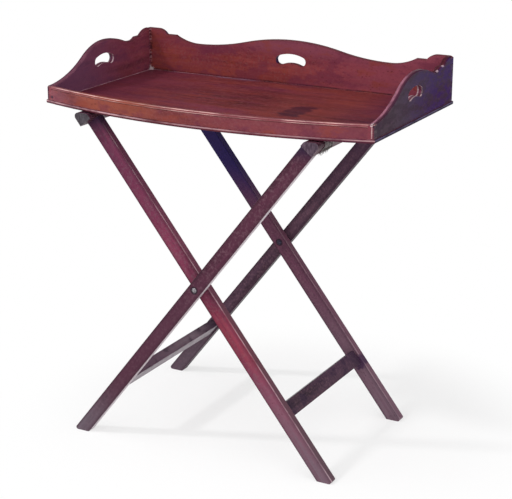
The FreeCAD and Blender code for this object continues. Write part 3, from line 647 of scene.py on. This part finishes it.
def outsideShadeAndFinish(kit, colour):  # outer faces, painted shade over a darker finish: dusky by the sweep, the outside tone further back
    tree = kit["tree"]
    look = kit["look"]
    wood = lay(kit, rgb(56, 43, 53), look["outside"], fade(kit, "y", -0.12, 0.17))
    wood = lay(kit, wood, rgb(36, 22, 38), fade(kit, "mottle", 0.44, 0.60, high=0.75))
    dust = streaky(tree, kit["place"], (1, 70, 150), 3.0, 0.65)
    wood = lay(kit, wood, rgb(72, 46, 70), slope(tree, dust, 0.5, 0.68, high=0.3))
    outward = sums(tree, "MULTIPLY", kit["nx"], look["outward"])
    return lay(kit, colour, wood, slope(tree, outward, 0.5, 0.9, high=0.92))


def sideTints(kit, colour):  # dusky plum towards the front
    return lay(kit, colour, rgb(100, 64, 90), fade(kit, "y", 0.16, -0.1, high=0.75))


def sweepHighlights(kit, colour):  # painted highlight along the falling edge of the sweep, and two painted glints towards the back
    tree = kit["tree"]
    sweep = kit["look"]["sweep"]
    out = size(tree, kit["x"])
    fall = both(tree, slope(tree, out, 0.3740, 0.3705), fade(kit, "nz", 0.25, 0.5),
                fade(kit, "y", 0.08, -0.04))
    patch = fade(kit, "mottle", 0.35, 0.6, low=0.35, high=0.75)
    colour = lay(kit, colour, rgb(176, 116, 136), fall, patch, sweep)
    spots = anyOf(tree, band(kit, "y", 0.136, 0.141, 0.146, 0.151),
                  band(kit, "y", 0.166, 0.171, 0.177, 0.182))
    return lay(kit, colour, rgb(226, 196, 206), spots, slope(tree, out, 0.3725, 0.3750),
               fade(kit, "nz", 0.2, 0.5), sweep)


def holeGlints(kit, colour):  # painted glints on the two rims of the hand hole
    tree = kit["tree"]
    run = band(kit, "y", -0.016, -0.012, 0.068, 0.072)
    tall = band(kit, "z", 0.770, 0.774, 0.805, 0.809)
    wall = slope(tree, size(tree, kit["nx"]), 0.6, 0.3)
    out = size(tree, kit["x"])
    rims = anyOf(tree, slope(tree, out, 0.3738, 0.3752), slope(tree, out, 0.3692, 0.3678))
    patch = fade(kit, "mottle", 0.36, 0.6, low=0.2, high=0.85)
    return lay(kit, colour, rgb(184, 160, 166), run, tall, wall, rims, patch)


# the woods' tones; their flank, top and outside colours are painted light and shade
trayWood = {
    "dark": rgb(64, 22, 26),
    "mid": rgb(114, 45, 50),
    "light": rgb(140, 63, 62),
    "plum": rgb(112, 48, 68),
    "bloom": rgb(124, 74, 76),
    "brown": rgb(128, 56, 42),
    "purple": rgb(92, 36, 60),
    "worn": rgb(176, 118, 116),
    "outward": 1,  # 1 darkens faces to the right, -1 to the left
    # bluish painted shade on the outer faces
    "outside": rgb(34, 4, 74),
    "grain": "alongX",
    "pores": 0.3,
    "flecks": 0.55,
    "rough": 0.45,
    "wearAndHighlightShare": 0.25,
    "wearAndHighlightWidth": 0.0022,
    "gloss": 0.06,
}
floorWood = {
    **trayWood,
    "mid": rgb(99, 39, 44),
    "light": rgb(124, 55, 52),
    "brown": rgb(112, 46, 40),
    "purple": rgb(82, 32, 52),
    "gloss": 0.03,
}
frontWood = {
    **trayWood,
    "mid": rgb(112, 51, 50),
    "light": rgb(137, 69, 60),
    "plum": rgb(110, 50, 62),
    "wearAndHighlightShare": 0.35,
    "gloss": 0.1,
}
sideWood = {
    **trayWood,
    "dark": rgb(54, 20, 30),
    "mid": rgb(110, 48, 64),
    "light": rgb(134, 62, 76),
    "brown": rgb(106, 46, 50),
    "purple": rgb(80, 38, 66),
    "grain": "alongY",
    "gloss": 0.03,
}
sideWoods = {
    # outside: painted shade on the outer faces; sweep: strength of the painted highlight and glints on the
    # sweep
    "left": {**sideWood, "outward": -1, "outside": rgb(50, 24, 50), "sweep": 0.25},
    "right": {**sideWood, "sweep": 0.8},
}
standWood = {
    "bloom": rgb(112, 82, 92),
    "worn": rgb(206, 176, 184),
    "pores": 0.3,
    "flecks": 0.5,
    "rough": 0.45,
    "wearAndHighlightShare": 0.3,
    "wearAndHighlightWidth": 0.002,
    "gloss": 0.1,
}
legWood = {
    **standWood,
    "footFrom": 0.24,
    # painted shadow of the tray on the leg tops: its colour and heights
    "top": rgb(60, 32, 62),
    "topFrom": (0.46, 0.66),
}
# flank and flankShade: painted light and shade on each leg's right flank
legWoods = {
    "outer_front": {
        **legWood,
        "dark": rgb(48, 24, 36),
        "mid": rgb(75, 37, 54),
        "light": rgb(89, 48, 66),
        "plum": rgb(80, 40, 58),
        # painted reflection of the white floor on this leg's flank
        "flank": rgb(200, 188, 194),
        "flankShade": 0.85,
        "arris": 0.2,
        "topShade": 0.0,
        "foot": rgb(98, 86, 96),
        "footFrom": 0.17,
    },
    "outer_back": {
        **legWood,
        "dark": rgb(46, 28, 40),
        "mid": rgb(71, 49, 64),
        "light": rgb(89, 62, 77),
        "plum": rgb(72, 45, 64),
        "flank": rgb(44, 32, 40),
        "flankShade": 0.85,
        "arris": 0.2,
        "topShade": 0.4,
        "foot": rgb(88, 74, 84),
    },
    "inner_front": {
        **legWood,
        "dark": rgb(66, 26, 42),
        "mid": rgb(107, 44, 68),
        "light": rgb(127, 56, 80),
        "plum": rgb(98, 40, 65),
        "flank": rgb(118, 70, 88),
        "flankLow": rgb(84, 62, 70),
        "flankShade": 0.7,
        "arris": 0.6,
        "topShade": 0.3,
        "foot": rgb(102, 88, 98),
        "footFrom": 0.27,
    },
    "inner_back": {
        **legWood,
        "dark": rgb(50, 26, 42),
        "mid": rgb(94, 53, 73),
        "light": rgb(112, 69, 87),
        "plum": rgb(88, 46, 68),
        "flank": rgb(108, 72, 88),
        "flankShade": 0.5,
        "arris": 0.25,
        # bluish painted shadow of the tray, reaching lower on this leg
        "top": rgb(30, 21, 78),
        "topFrom": (0.42, 0.555),
        "topShade": 0.92,
        "foot": rgb(114, 92, 104),
        "footFrom": 0.37,
    },
}
barWood = {**standWood, "grain": "alongY"}
barWoods = {
    # the outer bar's paler tones are partly painted light, lifting it out of the shade it stands in
    "outer": {
        **barWood,
        "dark": rgb(58, 48, 56),
        "mid": rgb(102, 88, 98),
        "light": rgb(128, 112, 122),
        "plum": rgb(80, 56, 74),
        "jointTone": rgb(54, 40, 54),
    },
    "inner": {
        **barWood,
        "dark": rgb(38, 27, 36),
        "mid": rgb(68, 48, 61),
        "light": rgb(88, 64, 78),
        "plum": rgb(72, 46, 70),
        "jointTone": rgb(44, 28, 52),
    },
}
railWood = {
    **barWood,
    "dark": rgb(40, 22, 32),
    "mid": rgb(78, 42, 56),
    "light": rgb(98, 58, 70),
    "plum": rgb(66, 36, 56),
    "wearAndHighlightShare": 0.15,
}
railWoods = {
    "outer": {**railWood, "endDark": rgb(58, 44, 56), "endLight": rgb(88, 72, 84)},
    "inner": {**railWood, "endDark": rgb(52, 46, 52), "endLight": rgb(80, 74, 80)},
}
floorMarks = [patchyStain, floorTints, floorStainAndSheen, dustyCorners, cornerStar, nosingShadeAndHighlight]
frontMarks = [frontTints, patchyStain, beadWearAndHighlight, frontCorners, outsideShadeAndFinish]
backMarks = [backTints, patchyStain, cornerStar, shadedTops, outsideShadeAndFinish]
sideMarks = [patchyStain, sideTints, cornerStar, shadedTops, sweepHighlights, holeGlints, bowEnds,
             frontCorners, outsideShadeAndFinish]
legMarks = {
    "outer_front": [greyFeet, duskyShin, legEdges, trayShadowTops, rivetGrime],
    "outer_back": [greyFeet, legEdges, trayShadowTops, rivetGrime],
    "inner_front": [redPatch, greyFeet, legEdges, trayShadowTops, rivetGrime],
    "inner_back": [greyFeet, legEdges, trayShadowTops, rivetGrime, jointShadow],
}
barMarks = [darkJointEnds, floorReflection]
railMarks = [dryEnds]


def dress(node, material):
    mesh = nodes[node].data
    mesh.materials.clear()
    mesh.materials.append(material)


dress("tray_floor", mahogany("floorMahogany", floorWood, floorMarks))
dress("front_rail", mahogany("frontMahogany", frontWood, frontMarks))
dress("back_gallery", mahogany("backMahogany", trayWood, backMarks))
for side, look in sideWoods.items():
    dress(f"{side}_gallery", mahogany(f"{side}SideMahogany", look, sideMarks))
for side in ("outer", "inner"):
    for end in ("front", "back"):
        leg = f"{side}_{end}"
        look = {**legWoods[leg], "grain": f"{side}Leg", "frontFace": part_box(f"{leg}_leg")[0].y}
        wood = mahogany(f"{side}{end.title()}LegMahogany", look, legMarks[leg])
        dress(f"{leg}_leg", wood)
    wood = mahogany(f"{side}RailMahogany", railWoods[side], railMarks)
    dress(f"{side}_top_rail", wood)
    wood = mahogany(f"{side}BarMahogany", barWoods[side], barMarks)
    dress(f"{side}_lower_stretcher", wood)
print("woods dressed")


# iron and steel
ironLook = {
    "dark": rgb(38, 34, 34),
    "bright": rgb(84, 74, 70),
    "rough": 0.5,
    "metal": 0.6,
    "spots": 700.0,
}
steelLook = {
    "dark": rgb(70, 66, 72),
    "bright": rgb(170, 166, 170),
    "rough": 0.3,
    "metal": 0.9,
    "spots": 420.0,
}
blackLook = {
    "dark": rgb(30, 26, 40),
    "bright": rgb(66, 60, 84),
    "rough": 0.4,
    "metal": 0.7,
    "spots": 420.0,
}
metalSkin = {
    "stops": (0.38, 0.62),
    "polish": (0.3, 0.7),
    "dullest": 0.15,  # rougher than the look's own by this, in the darkest spots
    "relief": (0.4, 0.0003),
}


def metal(name, look):
    material, tree, shader = newMaterial(name)
    place = addNode(tree, "ShaderNodeTexCoord").outputs["Object"]
    spots = noise(tree, place, look["spots"], 3.0, 0.6)
    colour = tones(tree, spots, list(zip(metalSkin["stops"], (look["dark"], look["bright"]))))
    tree.links.new(colour, shader.inputs["Base Color"])
    rough = slope(tree, spots, *metalSkin["polish"], look["rough"] + metalSkin["dullest"], look["rough"])
    tree.links.new(rough, shader.inputs["Roughness"])
    shader.inputs["Metallic"].default_value = look["metal"]
    relief(tree, shader, spots, *metalSkin["relief"])
    return material


iron = metal("forgedIron", ironLook)
steel = metal("wornSteel", steelLook)
dress("floor_nails", iron)
dress("outer_rail_tacks", iron)
dress("inner_rail_tacks", iron)
dress("front_pivot_rivet", steel)
# a darker, bluish copy of the steel for the back rivet
dress("back_pivot_rivet", metal("darkBluishSteel", blackLook))
dress("pivot_washers", steel)
print("metal dressed")


# webbing: one woven band over both rails, tacked down their outer sides
webbing = {
    "width": 0.044,
    "thickness": 0.0012,
    "railMiddle": 0.27274,  # middle of the rail's outer round
    "railHeight": 0.7139,
    "bend": 0.00905,  # radius at the middle of the cloth
    "lean": stand["lean"],  # of the rail's outer face
    "turnDown": 0.018,
    "sag": 0.004,
    "sagEnd": 0.24,
    "tailSteps": 9,
    "bendSteps": 12,
    "spanSteps": 44,
    "ribs": 12,
    "ribColumns": 4,
    "ribRise": 0.00022,
    "frill": 0.0005,  # waver of the selvedges
    "frillTurn": 310,  # radians in a metre
    "frillEdge": 6,  # the higher, the closer to the selvedge
    "flat": (0.044, 0.622),
}
weave = {
    "weft": 0.0016,
    "warp": 0.0009,
    "dirt": (130.0, 4.0, 0.7),
    "tones": [(0.32, rgb(58, 50, 54)), (0.5, rgb(116, 108, 110)), (0.68, rgb(176, 170, 166))],
    "hollows": (-0.6, 0.8, 0.4, 0.0),
    "hollowColour": rgb(78, 74, 74),
    "rough": 0.9,
    "gloss": 0.2,
    "relief": (0.6, 0.0003),
}


def strapLine(look):  # half of the band's path, from the tail's end to the middle
    lean = math.radians(look["lean"])
    points = []
    outward = Vector((math.cos(lean), 0, -math.sin(lean)))
    downward = Vector((-math.sin(lean), 0, -math.cos(lean)))
    centre = Vector((look["railMiddle"], 0, look["railHeight"]))
    shoulder = centre + outward * look["bend"]
    for step in range(look["tailSteps"]):
        points.append(shoulder + downward * (look["turnDown"] * (1 - step / look["tailSteps"])))
    for step in range(look["bendSteps"] + 1):
        angle = -lean + (math.pi / 2 + lean) * step / look["bendSteps"]
        points.append(centre + Vector((math.cos(angle), 0, math.sin(angle))) * look["bend"])
    top = look["railHeight"] + look["bend"]
    for step in range(1, look["spanSteps"] + 1):
        x = look["railMiddle"] * (1 - step / look["spanSteps"])
        share = max(0.0, 1 - (x / look["sagEnd"]) ** 2)
        points.append(Vector((x, 0, top - look["sag"] * share * share)))
    return points


def strapFront(node, look):  # y of the band's front selvedge
    low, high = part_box(node)
    return (low.y + high.y) / 2 - look["width"] / 2


def makeStrap(name, node, look):
    half = strapLine(look)
    line = half + [Vector((-p.x, 0, p.z)) for p in reversed(half[:-1])]
    front = strapFront(node, look)
    columns = look["ribs"] * look["ribColumns"]
    runs = [0.0]
    for before, after in zip(line, line[1:]):
        runs.append(runs[-1] + (after - before).length)
    points = []
    for index, point in enumerate(line):
        ahead = line[min(index + 1, len(line) - 1)] - line[max(index - 1, 0)]
        out = Vector((ahead.z, 0, -ahead.x)).normalized()
        wave = look["frill"] * math.sin(runs[index] * look["frillTurn"])
        for column in range(columns + 1):
            share = column / columns
            rib = look["ribRise"] * math.cos(2 * math.pi * look["ribs"] * share)
            frill = wave * abs(2 * share - 1) ** look["frillEdge"]
            y = front + look["width"] * share + frill * (1 if share > 0.5 else -1)
            points.append(point + out * rib + Vector((0, y, 0)))
    faces = []
    for row in range(len(line) - 1):
        for column in range(columns):
            corner = row * (columns + 1) + column
            faces.append((corner, corner + columns + 1, corner + columns + 2, corner + 1))
    strap = newObject(name, points, faces)
    mesh = strap.data
    uv = mesh.uv_layers.new(name="clothMetres")
    for loop in mesh.loops:
        row, column = divmod(loop.vertex_index, columns + 1)
        uv.data[loop.index].uv = (look["width"] * column / columns, runs[row])
    for polygon in mesh.polygons:
        polygon.use_smooth = True
    wall = strap.modifiers.new("cloth", "SOLIDIFY")
    wall.thickness = look["thickness"]
    wall.offset = 0.0
    settle(strap)
    return strap


def webbingCloth(name, look):
    material, tree, shader = newMaterial(name)
    place = addNode(tree, "ShaderNodeUVMap", uv_map="clothMetres").outputs["UV"]
    across, along = split(tree, place)[:2]
    weft = sums(tree, "SINE", sums(tree, "MULTIPLY", along, 2 * math.pi / look["weft"]))
    warp = sums(tree, "SINE", sums(tree, "MULTIPLY", across, 2 * math.pi / look["warp"]))
    cross = sums(tree, "MULTIPLY", weft, warp)
    colour = tones(tree, noise(tree, place, *look["dirt"]), look["tones"])
    colour = paint(tree, slope(tree, cross, *look["hollows"]), colour, look["hollowColour"])
    tree.links.new(colour, shader.inputs["Base Color"])
    shader.inputs["Roughness"].default_value = look["rough"]
    shader.inputs["Specular IOR Level"].default_value = look["gloss"]
    relief(tree, shader, cross, *look["relief"])
    return material


# loose threads at the tails' cut ends, one tuft of roots for each rail
frayed = {
    "count": 26,  # threads on one tail
    "spread": (0.1, 0.9),  # of a thread's own room along the end
    "rootLift": 0.0006,
    "length": 0.008,
    "thickness": 0.00035,
    "tilt": (6, 34),  # degrees off upright, under the lean of the rail's face
    "sway": 32,  # degrees, to either side
    "twist": 0.5,  # radians, to either side
    "seed": 11,
    "dirt": (420.0, 2.0, 0.6),
    "tones": [(0.38, rgb(52, 44, 48)), (0.5, rgb(118, 110, 112)), (0.62, rgb(190, 184, 180))],
    "polish": (0.3, 0.7, 0.95, 0.8),
    "gloss": 0.2,
}
thread = {
    "middle": -0.6,  # shares of the length: where it bends, its end, its curl aside
    "end": -1.0,
    "curl": 0.3,
    "sizes": (0.3, 1.0),
    "steps": 5,
    "sides": 5,
}


def makeThreadTree(look):
    tree = bpy.data.node_groups.new("frayThreads", "GeometryNodeTree")
    tree.interface.new_socket("Geometry", in_out="OUTPUT", socket_type="NodeSocketGeometry")
    inputs = {
        "Roots": "Geometry",
        "Length": "Float",
        "Thickness": "Float",
        "Low Turn": "Vector",
        "High Turn": "Vector",
        "Seed": "Int",
        "Cloth": "Material",
    }
    for name, kind in inputs.items():
        tree.interface.new_socket(name, in_out="INPUT", socket_type=f"NodeSocket{kind}")
    given = addNode(tree, "NodeGroupInput").outputs
    bend = addNode(tree, "ShaderNodeCombineXYZ")
    plug(tree, bend.inputs["Z"], sums(tree, "MULTIPLY", given["Length"], look["middle"]))
    tip = addNode(tree, "ShaderNodeCombineXYZ")
    plug(tree, tip.inputs["Y"], sums(tree, "MULTIPLY", given["Length"], look["curl"]))
    plug(tree, tip.inputs["Z"], sums(tree, "MULTIPLY", given["Length"], look["end"]))
    path = addNode(tree, "GeometryNodeCurveQuadraticBezier")
    path.inputs["Resolution"].default_value = look["steps"]
    path.inputs["Start"].default_value = (0.0, 0.0, 0.0)
    tree.links.new(bend.outputs[0], path.inputs["Middle"])
    tree.links.new(tip.outputs[0], path.inputs["End"])
    ring = addNode(tree, "GeometryNodeCurvePrimitiveCircle")
    ring.inputs["Resolution"].default_value = look["sides"]
    tree.links.new(given["Thickness"], ring.inputs["Radius"])
    tube = addNode(tree, "GeometryNodeCurveToMesh")
    tube.inputs["Fill Caps"].default_value = True
    tree.links.new(path.outputs["Curve"], tube.inputs["Curve"])
    tree.links.new(ring.outputs["Curve"], tube.inputs["Profile Curve"])
    turn = addNode(tree, "FunctionNodeRandomValue", data_type="FLOAT_VECTOR")
    tree.links.new(given["Low Turn"], turn.inputs[0])
    tree.links.new(given["High Turn"], turn.inputs[1])
    tree.links.new(given["Seed"], turn.inputs["Seed"])
    scale = addNode(tree, "FunctionNodeRandomValue", data_type="FLOAT")
    scale.inputs[2].default_value, scale.inputs[3].default_value = look["sizes"]
    tree.links.new(given["Seed"], scale.inputs["Seed"])
    tufts = addNode(tree, "GeometryNodeInstanceOnPoints")
    tree.links.new(given["Roots"], tufts.inputs["Points"])
    tree.links.new(tube.outputs["Mesh"], tufts.inputs["Instance"])
    tree.links.new(turn.outputs[0], tufts.inputs["Rotation"])
    tree.links.new(scale.outputs[1], tufts.inputs["Scale"])
    real = addNode(tree, "GeometryNodeRealizeInstances")
    tree.links.new(tufts.outputs["Instances"], real.inputs["Geometry"])
    dyed = addNode(tree, "GeometryNodeSetMaterial")
    tree.links.new(real.outputs["Geometry"], dyed.inputs["Geometry"])
    tree.links.new(given["Cloth"], dyed.inputs["Material"])
    out = addNode(tree, "NodeGroupOutput")
    tree.links.new(dyed.outputs["Geometry"], out.inputs["Geometry"])
    return tree


def makeFray(name, tree, side, material, look):
    tail = strapLine(webbing)[0]
    roots = []
    draw = random.Random(look["seed"])
    for end in ("front", "back"):
        front = strapFront(f"{end}_webbing_strap", webbing)
        for number in range(look["count"]):
            y = front + webbing["width"] * (number + draw.uniform(*look["spread"])) / look["count"]
            roots.append((side * tail.x, y, tail.z + look["rootLift"]))
    fray = newObject(name, roots, [])
    grow = fray.modifiers.new("threads", "NODES")
    grow.node_group = tree
    low, high = sorted(side * math.radians(angle) for angle in look["tilt"])
    sway = math.radians(look["sway"])
    settings = {
        "Length": look["length"],
        "Thickness": look["thickness"],
        "Low Turn": (-sway, low, -look["twist"]),
        "High Turn": (sway, high, look["twist"]),
        "Seed": look["seed"],
        "Cloth": material,
    }
    for socket in tree.interface.items_tree:
        if socket.in_out == "INPUT" and socket.name in settings:
            grow[socket.identifier] = settings[socket.name]
    settle(fray)
    return fray


def looseThread(name, look):
    material, tree, shader = newMaterial(name)
    place = addNode(tree, "ShaderNodeTexCoord").outputs["Object"]
    dirt = noise(tree, place, *look["dirt"])
    tree.links.new(tones(tree, dirt, look["tones"]), shader.inputs["Base Color"])
    tree.links.new(slope(tree, dirt, *look["polish"]), shader.inputs["Roughness"])
    shader.inputs["Specular IOR Level"].default_value = look["gloss"]
    return material


cloth = webbingCloth("greyWebbing", weave)
for end in ("front", "back"):
    strap = makeStrap(f"{end}Webbing", f"{end}_webbing_strap", webbing)
    strap.data.materials.clear()
    strap.data.materials.append(cloth)
    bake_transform(strap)
    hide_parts(f"{end}_webbing_strap")
threadTree = makeThreadTree(thread)
threadCloth = looseThread("looseThread", frayed)
for body, side in (("outer_frame", 1), ("inner_frame", -1)):
    fray = makeFray(body.replace("_frame", "Fray"), threadTree, side, threadCloth, frayed)
    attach(fray, body)
print("webbing made")
